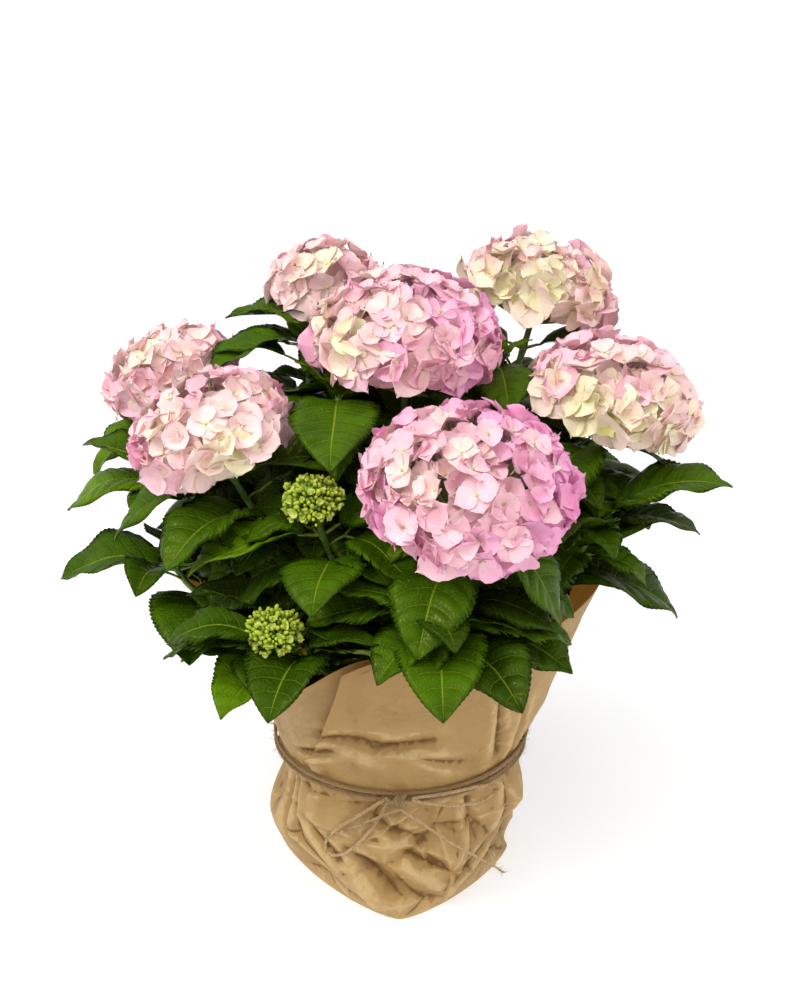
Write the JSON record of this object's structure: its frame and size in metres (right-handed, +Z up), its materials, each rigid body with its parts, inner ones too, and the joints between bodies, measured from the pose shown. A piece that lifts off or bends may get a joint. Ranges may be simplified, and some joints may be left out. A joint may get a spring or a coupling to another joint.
{
  "type": "potted hydrangea shrub",
  "caption": "Potted mophead hydrangea shrub with leafy flowering shoots, its pot wrapped in kraft paper and tied with jute twine.",
  "frame": {"origin": "centre of the flat underside that the wrapped pot stands on", "axes": "+Z up, -Y towards the front where the twine is tied in a bow, +X to the right seen from the front"},
  "size_m": [0.5286, 0.4826, 0.5236],
  "materials": {
    "kraft_paper": "matte brown kraft paper, creased",
    "pot_plastic": "thin moulded brown plastic",
    "soil": "moist dark potting soil",
    "jute": "twisted jute fibre",
    "bark": "greenish woody stems",
    "foliage": "glossy quilted green leaves",
    "mophead": "satin pale pink sepals with green leaves below",
    "green_bud": "satin lime green buds with green leaves below"
  },
  "bodies": {
    "root": {"nursery_pot": "pot_plastic", "paper_wrap": "kraft_paper", "potting_soil": "soil", "shoot_back_left": "mophead", "shoot_back_right": "mophead", "shoot_centre_leafy": "foliage", "shoot_front": "mophead", "shoot_front_leafy": "foliage", "shoot_inner_left_leafy": "foliage", "shoot_inner_right_leafy": "foliage", "shoot_left": "mophead", "shoot_left_back": "mophead", "shoot_left_high_leafy": "foliage", "shoot_left_leafy": "foliage", "shoot_left_low_leafy": "foliage", "shoot_lower_bud": "green_bud", "shoot_middle": "mophead", "shoot_rear": "mophead", "shoot_rear_left_leafy": "foliage", "shoot_rear_right_leafy": "foliage", "shoot_right": "mophead", "shoot_right_high_leafy": "foliage", "shoot_right_leafy": "foliage", "shoot_upper_bud": "green_bud", "stem_back_left": "bark", "stem_back_right": "bark", "stem_centre_leafy": "bark", "stem_front": "bark", "stem_front_leafy": "bark", "stem_inner_left_leafy": "bark", "stem_inner_right_leafy": "bark", "stem_left": "bark", "stem_left_back": "bark", "stem_left_high_leafy": "bark", "stem_left_leafy": "bark", "stem_left_low_leafy": "bark", "stem_lower_bud": "bark", "stem_middle": "bark", "stem_rear": "bark", "stem_rear_left_leafy": "bark", "stem_rear_right_leafy": "bark", "stem_right": "bark", "stem_right_high_leafy": "bark", "stem_right_leafy": "bark", "stem_upper_bud": "bark", "twine_knot": "jute", "twine_loop_left": "jute", "twine_loop_right": "jute", "twine_strand_1": "jute", "twine_strand_2": "jute", "twine_tail_right": "jute", "woody_crown": "bark"}
  },
  "joints": []
}
